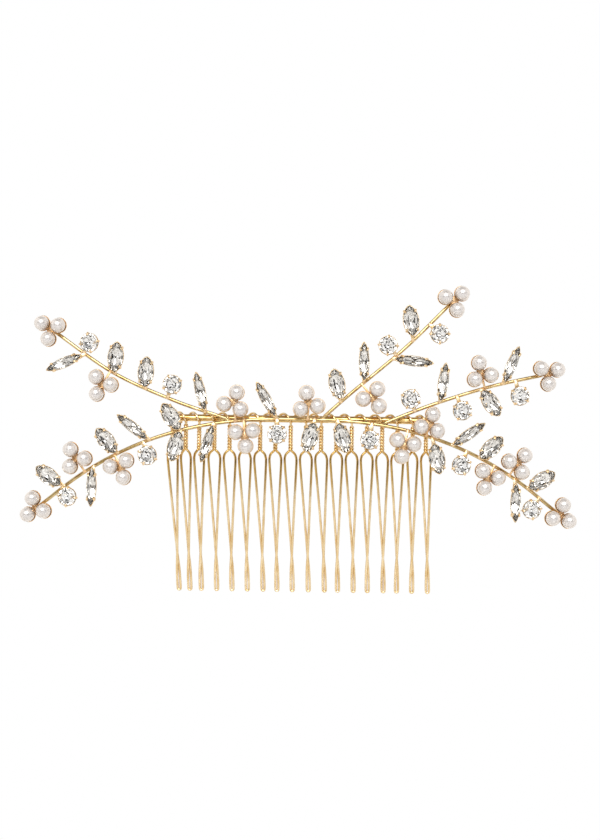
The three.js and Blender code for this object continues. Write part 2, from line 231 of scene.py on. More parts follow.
def smooth_run(points: list[Vector], per_span: int) -> list[Vector]:
    """Draw a smooth line through points.

    Args:
        points: the points it passes through.
        per_span: steps between neighbouring points.

    Returns:
        The points of the smooth line.
    """
    ends = [points[0] * 2 - points[1]] + points + [points[-1] * 2 - points[-2]]
    line = []
    for i in range(1, len(ends) - 2):
        p0, p1, p2, p3 = ends[i - 1:i + 3]
        for k in range(per_span):
            t = k / per_span
            line.append(0.5 * ((2 * p1) + (p2 - p0) * t + (2 * p0 - 5 * p1 + 4 * p2 - p3) * t * t
                               + (3 * p1 - p0 - 3 * p2 + p3) * t * t * t))
    line.append(points[-1])
    return line


def finish_piece(piece: bpy.types.Object, material: bpy.types.Material | None,
                 node: str) -> bpy.types.Object:
    """Dress a piece and put it on the comb in place of a CAD node.

    Args:
        piece: the finished mesh.
        material: its finish, or None when it has its own already.
        node: the CAD node that it stands for.

    Returns:
        The piece.
    """
    if material is not None:
        piece.data.materials.clear()
        piece.data.materials.append(material)
    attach(piece, BODY)
    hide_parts(node)
    return piece


# ---- finishes ------------------------------------------------------------------------------
@dataclass(frozen=True)
class GoldPlate:
    """Brass plated with gold, drawn, stamped or cast and then polished.

    The eye gets a warm mirror that the faint waves of polishing break up, with a paler worn tone where the
    waves run high. The tint by height is painted dark reflection: it darkens the colour from nothing at the
    lower height to full at the upper one, and fades again over the twisted shanks, standing in for the dark
    room mirrored on the tines' upper part. The real drawing marks are a few hundredths of a millimetre wide
    and wouldn't show, so grain_mm is coarser than they are.
    """

    name: str
    bright: str = "#EBC272"
    deep: str = "#C88E34"
    worn: str = "#F0D8A8"
    roughness: float = 0.16
    wave_mm: float = 1.4
    grain_mm: float = 0.12
    relief: float = 0.12
    # Painted dark reflection by height: its tint and the heights where it is full, gone and fading.
    painted_reflection_tint: str = "#FFFFFF"
    painted_band_full_above_mm: float = -13.0
    painted_band_none_below_mm: float = -23.0
    fade_from_mm: float = 3.5
    fade_to_mm: float = 7.0
    grain_depth_mm: float = 0.02

    def build(self) -> bpy.types.Material:
        """Make the material.

        Returns:
            The gold finish.
        """
        material, tree, where = new_finish(self.name)
        waves = add_node(tree, "ShaderNodeTexNoise", {"Scale": 1 / (self.wave_mm * MM), "Detail": 3.0},
                         {"Vector": where})
        grain = add_node(tree, "ShaderNodeTexNoise", {"Scale": 1 / (self.grain_mm * MM), "Detail": 2.0},
                         {"Vector": where})
        tint = add_node(tree, "ShaderNodeValToRGB", links={"Fac": waves.outputs["Fac"]})
        tint.color_ramp.elements[0].position = 0.3
        tint.color_ramp.elements[0].color = linear(self.deep)
        tint.color_ramp.elements[1].position = 0.62
        tint.color_ramp.elements[1].color = linear(self.bright)
        rub = tint.color_ramp.elements.new(0.8)
        rub.color = linear(self.worn)
        rough = add_node(tree, "ShaderNodeMapRange", {"From Min": 0.3, "From Max": 0.7,
                         "To Min": self.roughness * 0.7, "To Max": self.roughness * 1.5},
                         {"Value": grain.outputs["Fac"]})
        bump = add_node(tree, "ShaderNodeBump", {"Strength": self.relief,
                        "Distance": self.grain_depth_mm * MM}, {"Height": grain.outputs["Fac"]})
        # Painted dark reflection: the colour darkens by height over the tines' upper part and fades again
        # over the shanks.
        height = add_node(tree, "ShaderNodeSeparateXYZ", links={"Vector": where})
        painted_band_rise = add_node(tree, "ShaderNodeMapRange", {"interpolation_type": "SMOOTHSTEP",
                         "From Min": self.painted_band_none_below_mm * MM, "From Max": self.painted_band_full_above_mm * MM},
                         {"Value": height.outputs["Z"]})
        twist = add_node(tree, "ShaderNodeMapRange", {"interpolation_type": "SMOOTHSTEP", "To Min": 1.0,
                         "To Max": 0.1, "From Min": (self.painted_band_full_above_mm + self.fade_from_mm) * MM,
                         "From Max": (self.painted_band_full_above_mm + self.fade_to_mm) * MM},
                         {"Value": height.outputs["Z"]})
        amount = add_node(tree, "ShaderNodeMath", {"operation": "MULTIPLY"},
                          {0: painted_band_rise.outputs["Result"], 1: twist.outputs["Result"]})
        painted_reflection_mixed = add_node(tree, "ShaderNodeMix", {"data_type": "RGBA", "blend_type": "MULTIPLY"},
                          {0: amount.outputs["Value"], 6: tint.outputs["Color"]})
        painted_reflection_mixed.inputs[7].default_value = linear(self.painted_reflection_tint)
        shader = add_node(tree, "ShaderNodeBsdfPrincipled", {"Metallic": 1.0},
                          {"Base Color": painted_reflection_mixed.outputs[2], "Roughness": rough.outputs["Result"],
                           "Normal": bump.outputs["Normal"]})
        add_node(tree, "ShaderNodeOutputMaterial", links={"Surface": shader.outputs["BSDF"]})
        return material


@dataclass(frozen=True)
class PearlLustre:
    """Glass bead dipped in pearl essence and lacquered.

    The eye gets a milky grey body that clouds a little, a small clear highlight from the lacquer and a
    painted cream sheen toward the rim, which turns with the view and stands in for the white room mirrored
    at the pearl's edge. The dipped skin's own ripple is finer than would show, so skin_mm is coarser than
    it is.
    """

    name: str = "glass_pearl_lustre"
    body: str = "#D3CDC9"
    # The rim colour is a painted reflection of the white room at the pearl's edge.
    painted_rim_sheen: str = "#EADCCD"
    cool: str = "#C6C1BE"
    cloud_mm: float = 1.6
    skin_mm: float = 0.5
    skin_depth_mm: float = 0.01

    def build(self) -> bpy.types.Material:
        """Make the material.

        Returns:
            The pearl finish.
        """
        material, tree, where = new_finish(self.name)
        cloud = add_node(tree, "ShaderNodeTexNoise", {"Scale": 1 / (self.cloud_mm * MM), "Detail": 2.0},
                         {"Vector": where})
        skin = add_node(tree, "ShaderNodeTexNoise", {"Scale": 1 / (self.skin_mm * MM), "Detail": 3.0},
                        {"Vector": where})
        tint = add_node(tree, "ShaderNodeValToRGB", links={"Fac": cloud.outputs["Fac"]})
        tint.color_ramp.elements[0].position = 0.32
        tint.color_ramp.elements[0].color = linear(self.cool)
        tint.color_ramp.elements[1].position = 0.68
        tint.color_ramp.elements[1].color = linear(self.body)
        # Painted reflection: the colour turns cream toward the rim, where the surface faces away from the
        # view.
        rim = add_node(tree, "ShaderNodeLayerWeight", {"Blend": 0.5})
        edge = add_node(tree, "ShaderNodeMix", {"data_type": "RGBA"},
                        {0: rim.outputs["Facing"], 6: tint.outputs["Color"]})
        edge.inputs[7].default_value = linear(self.painted_rim_sheen)
        rough = add_node(tree, "ShaderNodeMapRange", {"To Min": 0.26, "To Max": 0.36},
                         {"Value": skin.outputs["Fac"]})
        bump = add_node(tree, "ShaderNodeBump", {"Strength": 0.015, "Distance": self.skin_depth_mm * MM},
                        {"Height": skin.outputs["Fac"]})
        shader = add_node(tree, "ShaderNodeBsdfPrincipled",
                          {"Metallic": 0.5, "IOR": 1.6, "Coat Weight": 1.0, "Coat Roughness": 0.1,
                           "Coat IOR": 1.6},
                          {"Base Color": edge.outputs[2], "Roughness": rough.outputs["Result"],
                           "Normal": bump.outputs["Normal"]})
        add_node(tree, "ShaderNodeOutputMaterial", links={"Surface": shader.outputs["BSDF"]})
        return material


@dataclass(frozen=True)
class CutGlass:
    """Machine-cut lead glass, polished.

    The eye gets clear, sharp facets that bend the foil behind them, with a trace of polishing
    haze. Its refractive index is that of lead glass.
    """

    name: str = "cut_glass_polished"
    tint: str = "#FFFFFF"
    haze_mm: float = 0.8

    def build(self) -> bpy.types.Material:
        """Make the material.

        Returns:
            The clear glass finish.
        """
        material, tree, where = new_finish(self.name)
        haze = add_node(tree, "ShaderNodeTexNoise", {"Scale": 1 / (self.haze_mm * MM), "Detail": 3.0},
                        {"Vector": where})
        rough = add_node(tree, "ShaderNodeMapRange", {"From Min": 0.35, "From Max": 0.75,
                         "To Min": 0.0, "To Max": 0.05}, {"Value": haze.outputs["Fac"]})
        shader = add_node(tree, "ShaderNodeBsdfPrincipled",
                          {"Base Color": linear(self.tint), "IOR": 1.57, "Transmission Weight": 1.0},
                          {"Roughness": rough.outputs["Result"]})
        add_node(tree, "ShaderNodeOutputMaterial", links={"Surface": shader.outputs["BSDF"]})
        return material


@dataclass(frozen=True)
class SilverFoil:
    """Silver deposited in a vacuum on a stone's back facets.

    The eye gets a mirror inside the stone that throws the light out again, rippled where the
    silver lies unevenly.
    """

    name: str = "silver_foil_back"
    bright: str = "#FDFCFA"
    shade: str = "#EFEDEA"
    ripple_mm: float = 0.9

    def build(self) -> bpy.types.Material:
        """Make the material.

        Returns:
            The foil finish.
        """
        material, tree, where = new_finish(self.name)
        ripple = add_node(tree, "ShaderNodeTexNoise", {"Scale": 1 / (self.ripple_mm * MM), "Detail": 2.0},
                          {"Vector": where})
        tint = add_node(tree, "ShaderNodeValToRGB", links={"Fac": ripple.outputs["Fac"]})
        tint.color_ramp.elements[0].position = 0.3
        tint.color_ramp.elements[0].color = linear(self.shade)
        tint.color_ramp.elements[1].position = 0.6
        tint.color_ramp.elements[1].color = linear(self.bright)
        shader = add_node(tree, "ShaderNodeBsdfPrincipled", {"Metallic": 0.97, "Roughness": 0.04},
                          {"Base Color": tint.outputs["Color"]})
        add_node(tree, "ShaderNodeOutputMaterial", links={"Surface": shader.outputs["BSDF"]})
        return material


@dataclass
class Finishes:
    """Every finish on the comb, made once."""

    wire: bpy.types.Material = field(init=False)
    bar: bpy.types.Material = field(init=False)
    stem: bpy.types.Material = field(init=False)
    setting: bpy.types.Material = field(init=False)
    cup: bpy.types.Material = field(init=False)
    pearl: bpy.types.Material = field(init=False)
    glass: bpy.types.Material = field(init=False)
    foil: bpy.types.Material = field(init=False)
    grey_foil: bpy.types.Material = field(init=False)

    def __post_init__(self) -> None:
        """Make the materials."""
        # Drawn wire: a smooth skin with one long soft glint; its tint by height is painted dark reflection
        # on the tines' upper part, so the tips stay paler.
        self.wire = GoldPlate("drawn_wire_gold", bright="#EFD7AC", deep="#E0C08A", worn="#F5E6CA",
                              roughness=0.12, wave_mm=2.4, relief=0.05, painted_reflection_tint="#E4D4A2").build()
        # Turned bar: hidden from wear under the wraps, so its gold is deeper and shinier.
        self.bar = GoldPlate("polished_bar_gold", bright="#DFBC7C", deep="#B88E4C", worn="#EFDAAC",
                             roughness=0.1).build()
        # Stems: the most polished pieces, with dark lines along a bright middle.
        self.stem = GoldPlate("polished_stem_gold", bright="#CFB583", deep="#A68B57", worn="#E8D9B2",
                              roughness=0.07, wave_mm=2.4, relief=0.05).build()
        # Stamped settings: thin sheet, plated pale and slightly satin from the press.
        self.setting = GoldPlate("stamped_setting_gold", bright="#F3DBB4", deep="#E6C08A",
                                 worn="#F9EAD2", roughness=0.30).build()
        # Cast cups: pinker and duller, with the casting's skin left on.
        self.cup = GoldPlate("cast_cup_gold", bright="#F1CFA2", deep="#E2B884", worn="#F9E4CA",
                             roughness=0.38).build()
        self.pearl = PearlLustre().build()
        self.glass = CutGlass().build()
        self.foil = SilverFoil().build()
        # The long stones' foil has greyed a little more than the round ones'.
        self.grey_foil = SilverFoil("silver_foil_back_greyed", bright="#F4F1EC", shade="#D2CEC8").build()


# ---- layout --------------------------------------------------------------------------------
class Kind(Enum):
    """What can sit on a stem."""

    ROUND = "round"
    WIDE = "wide"
    SLIM = "slim"
    TRIO = "trio"


@dataclass(frozen=True)
class Seat:
    """One thing soldered on a stem.

    at is the distance along the stem and side is 1 above it and -1 below it. lean is the
    angle from the stem's heading. turn is the whole three pearls' own turn, in degrees, and
    reach the distance from the stem's axis. end is the distance past the stem's end.
    """

    kind: Kind
    node: str
    at: float = 0.0
    side: int = 1
    lean: float = 90.0
    turn: float = 0.0
    reach: float | None = None
    end: float | None = None


@dataclass
class Spray:
    """The sizes and curves of the spray, in millimetres, as the comb's solids have them."""

    wrap_r: float = 1.46
    wire_d: float = 0.7
    stem_d: float = 1.0
    stem_gap: float = 0.1
    half_span: float = 70.4
    drop: float = 24.6
    bend: float = 2.5
    solder_half: float = 20.0
    sweep: float = 4.0
    joint_gap: float = 0.12
    seat_gap: float = 0.1
    base_step: float = 0.2
    lines: dict[str, list[Vector]] = field(init=False)
    hands: dict[str, int] = field(init=False)

    def __post_init__(self) -> None:
        """Draw the arms' axes."""
        def main_half(hand: int) -> list[tuple[float, float]]:
            """Points of half of the main stem."""
            steps = [self.half_span * i / 6 for i in range(7)]
            return [(hand * x, self.main_drop(x)) for x in steps]

        points = {
            "lower_left": main_half(-1),
            "lower_right": main_half(1),
            "upper_left": [self.root_on(-20), (-33.9, 4.6), (-50.5, 11.9), (-66.6, 22.8)],
            "upper_right": [self.root_on(6.9), (13.8, 7.2), (28.0, 19.4), (40.7, 32.1)],
            "side_right": [self.root_on(23.5), (35.4, 4.3), (50.7, 9.3), (65.5, 12.8)],
        }
        self.hands = {arm: -1 if arm.endswith("left") else 1 for arm in points}
        self.lines = {arm: smooth_run([Vector((x, 0, z)) for x, z in row], 40)
                      for arm, row in points.items()}

    @property
    def stem_y(self) -> float:
        """Depth of the stems' axis in front of the spine's."""
        return -(self.wrap_r + self.wire_d / 2 + self.stem_gap + self.stem_d / 2)

    @property
    def seat_z(self) -> float:
        """Height of the seating plane in front of a stem's axis."""
        return self.stem_d / 2 + self.seat_gap

    def main_drop(self, x: float) -> float:
        """How far the main stem hangs at a sideways place."""
        return -self.drop * (abs(x) / self.half_span) ** self.bend

    def root_on(self, x: float) -> tuple[float, float]:
        """Where a branch starts above the main stem."""
        return (x, self.main_drop(x) + self.stem_d + self.joint_gap)

    def sweep_back(self, x: float) -> tuple[float, float]:
        """How far back the spray has curved, and its slope.

        Args:
            x: the sideways place.

        Returns:
            The depth and the slope.
        """
        span = self.half_span - self.solder_half
        past = max(0.0, abs(x) - self.solder_half) / span
        return self.sweep * past * past, math.copysign(self.sweep * 2 * past / span, x)

    def on_spray(self, x: float, z: float) -> Vector:
        """The point of the stems' surface of axes at a place."""
        return Vector((x, self.stem_y + self.sweep_back(x)[0], z))

    def station(self, arm: str, at: float) -> tuple[Vector, float]:
        """Find a place along an arm.

        Args:
            arm: the arm's name.
            at: distance along it in millimetres.

        Returns:
            The place and the heading in degrees.
        """
        line = self.lines[arm]
        gone = 0.0
        for a, b in zip(line, line[1:]):
            step = (b - a).length
            if gone + step >= at or b is line[-1]:
                way = (b - a).normalized()
                place = a + way * (at - gone)
                return place, math.degrees(math.atan2(way.z, way.x))
            gone += step
        return line[-1], 0.0

    def length(self, arm: str) -> float:
        """Length of an arm in millimetres."""
        line = self.lines[arm]
        return sum((b - a).length for a, b in zip(line, line[1:]))

    def seat_matrix(self, x: float, z: float, angle: float) -> Matrix:
        """Axes of a piece on the spray, pointing along an angle, in metres.

        Args:
            x: sideways place in millimetres.
            z: upward place in millimetres.
            angle: the way that its own +X points, in degrees.

        Returns:
            The matrix that takes the piece from the origin to its seat.
        """
        a = math.radians(angle)
        tilt = math.atan(self.sweep_back(x)[1])
        along = Vector((math.cos(a) * math.cos(tilt), math.cos(a) * math.sin(tilt), math.sin(a)))
        front = Vector((math.sin(tilt), -math.cos(tilt), 0))
        across = front.cross(along)
        place = self.on_spray(x, z) * MM
        matrix = Matrix((along, across, front)).transposed().to_4x4()
        matrix.translation = place
        return matrix

    def place(self, arm: str, seat: Seat, length: float) -> tuple[Matrix, float]:
        """Place a seat's piece.

        Args:
            arm: the arm that it sits on.
            seat: the layout entry.
            length: the piece's own length, which sets its reach when none is given.

        Returns:
            Its matrix, and its reach from the stem's axis.
        """
        if seat.end is not None:
            tip, heading = self.station(arm, self.length(arm))
            way = math.radians(heading)
            x, z = tip.x + math.cos(way) * seat.end, tip.z + math.sin(way) * seat.end
            return self.seat_matrix(x, z, seat.turn), seat.end
        base, heading = self.station(arm, seat.at)
        angle = heading + self.hands[arm] * seat.side * seat.lean
        reach = seat.reach if seat.reach is not None else length / 2 + self.base_step
        a = math.radians(angle)
        x, z = base.x + math.cos(a) * reach, base.z + math.sin(a) * reach
        return self.seat_matrix(x, z, angle), reach


LAYOUT: dict[str, list[Seat]] = {
    "lower_left": [
        Seat(Kind.SLIM, "crystal_lower_left_slim_and_round_a", 6.0, 1, 61, reach=6.1),
        Seat(Kind.ROUND, "crystal_lower_left_slim_and_round_a", 6, -1, reach=4),
        Seat(Kind.TRIO, "pearls_lower_left_1", 15.02, -1, turn=36, reach=4.27),
        Seat(Kind.TRIO, "pearls_lower_left_2", 17.19, 1, turn=73, reach=5.12),
        Seat(Kind.SLIM, "crystal_lower_left_slim_b", 23.08, -1, 63),
        Seat(Kind.WIDE, "crystal_lower_left_wide_and_wide_a", 32.24, 1, 71, reach=4.35),
        Seat(Kind.WIDE, "crystal_lower_left_wide_and_wide_a", 32.2, -1, 60),
        Seat(Kind.SLIM, "crystal_lower_left_slim_and_round_c", 40.95, 1, 58),
        Seat(Kind.ROUND, "crystal_lower_left_slim_and_round_c", 42.8, -1, reach=3.8),
        Seat(Kind.WIDE, "crystal_lower_left_wide_b", 50.28, 1, 76),
        Seat(Kind.TRIO, "pearls_lower_left_3", 51.24, -1, turn=51, reach=3.98),
        Seat(Kind.SLIM, "crystal_lower_left_slim_d", 57.81, -1, 57, reach=5.5),
        Seat(Kind.TRIO, "pearls_lower_left_4", 60.52, 1, turn=-1, reach=4.29),
        Seat(Kind.WIDE, "crystal_lower_left_wide_and_round_c", 67.43, 1, 72, reach=4.88),
        Seat(Kind.ROUND, "crystal_lower_left_wide_and_round_c", 68.19, -1, reach=2.93),
        Seat(Kind.TRIO, "pearls_lower_left_5", end=0.54, turn=103),
    ],
    "lower_right": [
        Seat(Kind.TRIO, "pearls_lower_right_1", 2.23, 1, turn=101, reach=4.49),
        Seat(Kind.WIDE, "crystal_lower_right_wide_a", 4.1, -1, 104, reach=4.9),
        Seat(Kind.WIDE, "crystal_lower_right_wide_b", 10.2, -1, 71, reach=4.9),
        Seat(Kind.ROUND, "crystal_lower_right_round_a", 19.54, -1, reach=4.37),
        Seat(Kind.TRIO, "pearls_lower_right_2", 29.3, -1, turn=16, reach=4.4),
        Seat(Kind.TRIO, "pearls_lower_right_3", 34.4, 1, turn=76, reach=3.35),
        Seat(Kind.WIDE, "crystal_lower_right_wide_c", 36.2, -1, 61, reach=5.73),
        Seat(Kind.SLIM, "crystal_lower_right_slim_a", 41.86, 1, 56, reach=5.25),
        Seat(Kind.ROUND, "crystal_lower_right_round_b", 46.23, -1, reach=4.07),
        Seat(Kind.WIDE, "crystal_lower_right_wide_d", 50.06, 1, 70, reach=3.98),
        Seat(Kind.TRIO, "pearls_lower_right_4", 54.67, -1, turn=6, reach=3.91),
        Seat(Kind.TRIO, "pearls_lower_right_5", 59.4, 1, turn=51, reach=3.95),
        Seat(Kind.SLIM, "crystal_lower_right_slim_b", 61.28, -1, 57, reach=6.37),
        Seat(Kind.WIDE, "crystal_lower_right_wide_e", 65.55, 1, 68, reach=4.18),
        Seat(Kind.ROUND, "crystal_lower_right_round_c", 69.78, -1, reach=3.94),
        Seat(Kind.TRIO, "pearls_lower_right_6", end=0.43, turn=81),
    ],
    "upper_left": [
        Seat(Kind.SLIM, "crystal_upper_left_slim_a", 5.53, 1, 59),
        Seat(Kind.ROUND, "crystal_upper_left_round_a", 16.4, 1, reach=3.85),
        Seat(Kind.WIDE, "crystal_upper_left_wide_a", 22.85, 1, 71),
        Seat(Kind.WIDE, "crystal_upper_left_wide_b", 32.06, 1, 67),
        Seat(Kind.TRIO, "pearls_upper_left_1", 33.36, -1, turn=3, reach=4.38),
        Seat(Kind.SLIM, "crystal_upper_left_slim_and_round_b", 41.63, -1, 58, reach=5.98),
        Seat(Kind.ROUND, "crystal_upper_left_slim_and_round_b", 42.36, 1, reach=3.32),
        Seat(Kind.TRIO, "pearls_upper_left_2", end=0.98, turn=23),
    ],
    "upper_right": [
        Seat(Kind.WIDE, "crystal_upper_right_wide_a", 5.51, 1, 61, reach=4.95),
        Seat(Kind.TRIO, "pearls_upper_right_1", 12.9, -1, turn=66, reach=4.75),
        Seat(Kind.SLIM, "crystal_upper_right_slim_a", 13.7, 1, 51, reach=5.6),
        Seat(Kind.SLIM, "crystal_upper_right_slim_and_round_b", 23.72, -1, 47),
        Seat(Kind.ROUND, "crystal_upper_right_slim_and_round_b", 25.04, 1, reach=3.57),
        Seat(Kind.WIDE, "crystal_upper_right_wide_b", 31.01, 1, 54, reach=5.37),
        Seat(Kind.ROUND, "crystal_upper_right_round_a", 37.24, -1, reach=3.6),
        Seat(Kind.TRIO, "pearls_upper_right_2", end=0.52, turn=43),
    ],
    "side_right": [
        Seat(Kind.ROUND, "crystal_side_right_round_a", 8.05, 1, reach=3.48),
        Seat(Kind.SLIM, "crystal_side_right_slim_a", 15.13, 1, 63, reach=5.41),
        Seat(Kind.ROUND, "crystal_side_right_round_b", 20.08, -1, reach=4.02),
        Seat(Kind.WIDE, "crystal_side_right_wide_a", 26.7, -1, 71, reach=4.45),
        Seat(Kind.TRIO, "pearls_side_right_1", 27.9, 1, turn=106, reach=4.37),
        Seat(Kind.SLIM, "crystal_side_right_slim_and_round_b", 32.9, 1, 54),
        Seat(Kind.ROUND, "crystal_side_right_slim_and_round_b", 36.55, -1, reach=4.2),
        Seat(Kind.TRIO, "pearls_side_right_2", end=1.28, turn=27),
    ],
}


# ---- wire comb -----------------------------------------------------------------------------
@dataclass
class WireComb:
    """The polished core bar and the long wire bent into tines and wrapped over it."""

    finishes: Finishes
    spine_d: float = 1.9
    spine_length: float = 72.0
    wire_d: float = 0.68
    solid_wire_d: float = 0.7
    wrap_r: float = 1.40
    count: int = 18
    pitch: float = 4.12
    end_pitch: float = 3.6
    per_run: int = 3
    leg_gap: float = 0.25
    shank_end: float = 9.0
    shoulder: float = 11.3
    crossing: float = 37.0
    length: float = 47.1
    tip_half: float = 0.41
    cross_half: float = 0.42
    bow: float = 3.0
    twists: float = 4.25
    steps_per_twist: int = 12
    strand_ease: float = 0.35
    twist_squeeze: float = 0.97
    wrap_from_deg: float = -52.0
    wrap_to_deg: float = 232.0
    wrap_steps: int = 26
    tail: float = 1.9
    tail_pitch: float = 1.6
    tail_points: int = 11
    leans: tuple[float, ...] = (2.2, 1.5, 1.0, 1.05, 1.1, 1.15, 1.3, 0.95, 1.0, 1.25, 1.5, 0.95,
                                1.1, 0.8, 1.0, 0.5, 0.5, 1.2)

    def places(self) -> list[float]:
        """Sideways places of the tines.

        Returns:
            One place for each tine, in millimetres.
        """
        close = {0, 1, self.count - 2}
        gaps = [self.end_pitch if i in close else self.pitch for i in range(self.count - 1)]
        row = [-sum(gaps) / 2]
        for gap in gaps:
            row.append(row[-1] + gap)
        return row

    @property
    def bend_start(self) -> float:
        """Depth where the legs end and the tip's round bend starts."""
        return self.length - self.wire_d / 2 - self.tip_half

    def bowed(self, depth: float) -> float:
        """How far back a tine has curved at a depth."""
        past = max(0.0, depth - self.shank_end) / (self.length - self.shank_end)
        return self.bow * past * past

    def leaning(self, depth: float, lean: float) -> float:
        """How far a tine has leaned sideways at a depth."""
        return lean * max(0.0, depth - self.shank_end) / (self.length - self.shank_end)

    def strand(self, x: float, phase: float) -> list[Vector]:
        """One strand of the twisted pair, from the top down.

        Args:
            x: the tine's sideways place.
            phase: where the strand starts round the pair, in radians.

        Returns:
            The strand's points.
        """
        top, bottom = self.wrap_r + self.strand_ease, self.shank_end - self.strand_ease
        half = self.wire_d / 2 * self.twist_squeeze
        steps = int(self.twists * self.steps_per_twist)
        points = []
        for i in range(steps + 1):
            share = i / steps
            a = phase + share * self.twists * 2 * math.pi
            depth = top + (bottom - top) * share
            points.append(Vector((x + half * math.cos(a), half * math.sin(a), -depth)))
        return points

    def leg(self, x: float, spread: float, lean: float, hand: int) -> list[Vector]:
        """One leg from the shank to the start of the tip's bend.

        Args:
            x: the tine's sideways place.
            spread: half the distance between the legs at the shoulder.
            lean: the tip's sideways lean.
            hand: 1 for the right leg, in front where they cross, and -1 for the left.

        Returns:
            The leg's points.
        """
        turn, slope = self.bend_start, self.crossing - self.shoulder
        past = turn - self.crossing
        rows = [
            (spread * 0.50, 0.0, self.shank_end + 0.06),
            (spread * 0.80, 0.0, self.shank_end + 0.62),
            (spread * 0.96, 0.0, self.shank_end + 1.45),
            (spread, 0.0, self.shoulder),
            (spread * 0.93, 0.06, self.shoulder + 2.2),
            (spread * 0.55, self.cross_half * 0.45, self.shoulder + slope * 0.45),
            (spread * 0.12, self.cross_half * 0.95, self.shoulder + slope * 0.88),
            (0.0, self.cross_half, self.crossing),
            (-self.tip_half * 0.72, self.cross_half * 0.72, self.crossing + past * 0.4),
            (-self.tip_half * 0.98, self.cross_half * 0.25, self.crossing + past * 0.75),
            (-self.tip_half, 0.0, turn),
        ]
        return [Vector((x + self.leaning(d, lean) + hand * sx, self.bowed(d) - hand * sy, -d))
                for sx, sy, d in rows]

    def tip_bend(self, x: float, lean: float) -> list[Vector]:
        """The round bend at a tine's tip, from the right leg to the left.

        Args:
            x: the tine's sideways place.
            lean: the tip's sideways lean.

        Returns:
            The bend's points.
        """
        turn, half = self.bend_start, self.tip_half
        middle, back = x + self.leaning(turn, lean), self.bowed(turn)
        angles = [math.radians(step) for step in range(20, 180, 20)]
        return [Vector((middle - half * math.cos(a), back, -turn - half * math.sin(a))) for a in angles]

    def wrap(self, x: float, pitch: float) -> list[Vector]:
        """The wire behind and over the bar from one tine to the next.

        Args:
            x: the tine's sideways place.
            pitch: the distance to the next tine.

        Returns:
            The wrap's points, ending in front where the next tine's strand starts.
        """
        first, last = math.radians(self.wrap_from_deg), math.radians(self.wrap_to_deg)
        points = []
        for i in range(self.wrap_steps + 1):
            share = i / self.wrap_steps
            a = first + (last - first) * share
            ease = share - 0.07 * math.sin(2 * math.pi * share)
            points.append(Vector((x + pitch * ease, math.cos(a) * self.wrap_r, math.sin(a) * self.wrap_r)))
        return points

    def tine(self, index: int, places: list[float]) -> bpy.types.Object:
        """Bend one tine: strand, leg, tip, leg, strand and the wrap toward the next tine.

        Args:
            index: the tine's number from the left, from zero.
            places: all the tines' places.

        Returns:
            The tine as one mesh.
        """
        x, lean = places[index], self.leans[index]
        near = [abs(x - places[j]) for j in (index - 1, index + 1) if 0 <= j < self.count]
        spread = (min(near) - self.solid_wire_d - self.leg_gap) / 2
        bend = self.tip_bend(x, lean)
        down = self.strand(x, -math.pi / 2)
        up = list(reversed(self.strand(x, math.pi / 2)))
        right = smooth_run([down[-2], down[-1]] + self.leg(x, spread, lean, 1), 6)[6:]
        left = smooth_run([up[1], up[0]] + self.leg(x, spread, lean, -1), 6)[6:]
        line = down[:-1] + right[:-1] + bend + list(reversed(left))[1:] + up[1:]
        if index < self.count - 1:
            line += smooth_run([up[-1]] + self.wrap(x, places[index + 1] - x), 1)[1:]
            line.append(Vector((places[index + 1], -self.wire_d * 0.49, -(self.wrap_r + 0.3))))
        else:
            line += self.wrap(x, self.tail_pitch)[:self.tail_points]
        if index == 0:
            line = self.wrap(x - self.tail, self.tail)[self.wrap_steps // 2:] + line
        return swept_wire(f"tine_{index + 1:02d}", line, self.wire_d)

    def bar(self) -> bpy.types.Object:
        """Turn the core bar: a cylinder with its ends inset and rounded.

        Returns:
            The bar.
        """
        deselect()
        bpy.ops.mesh.primitive_cylinder_add(vertices=32, radius=self.spine_d * MM / 2,
                                            depth=self.spine_length * MM, rotation=(0, math.pi / 2, 0))
        bpy.ops.object.transform_apply(location=True, rotation=True, scale=True)
        piece = bpy.context.object
        piece.name = piece.data.name = "core_bar"
        bevel = piece.modifiers.new("rounded_ends", "BEVEL")
        bevel.width = 0.3 * MM
        bevel.segments = 4
        bevel.limit_method = "ANGLE"
        bpy.ops.object.modifier_apply(modifier=bevel.name)
        tidy_shell(piece, 40)
        return piece

    def build(self) -> None:
        """Build and dress the comb."""
        finish_piece(self.bar(), self.finishes.bar, "comb_spine")
        places = self.places()
        for index in range(self.count):
            run = index // self.per_run + 1
            piece = self.tine(index, places)
            finish_piece(piece, self.finishes.wire, f"tine_run_{run:02d}")
            LOG.info("bent %s", piece.name)


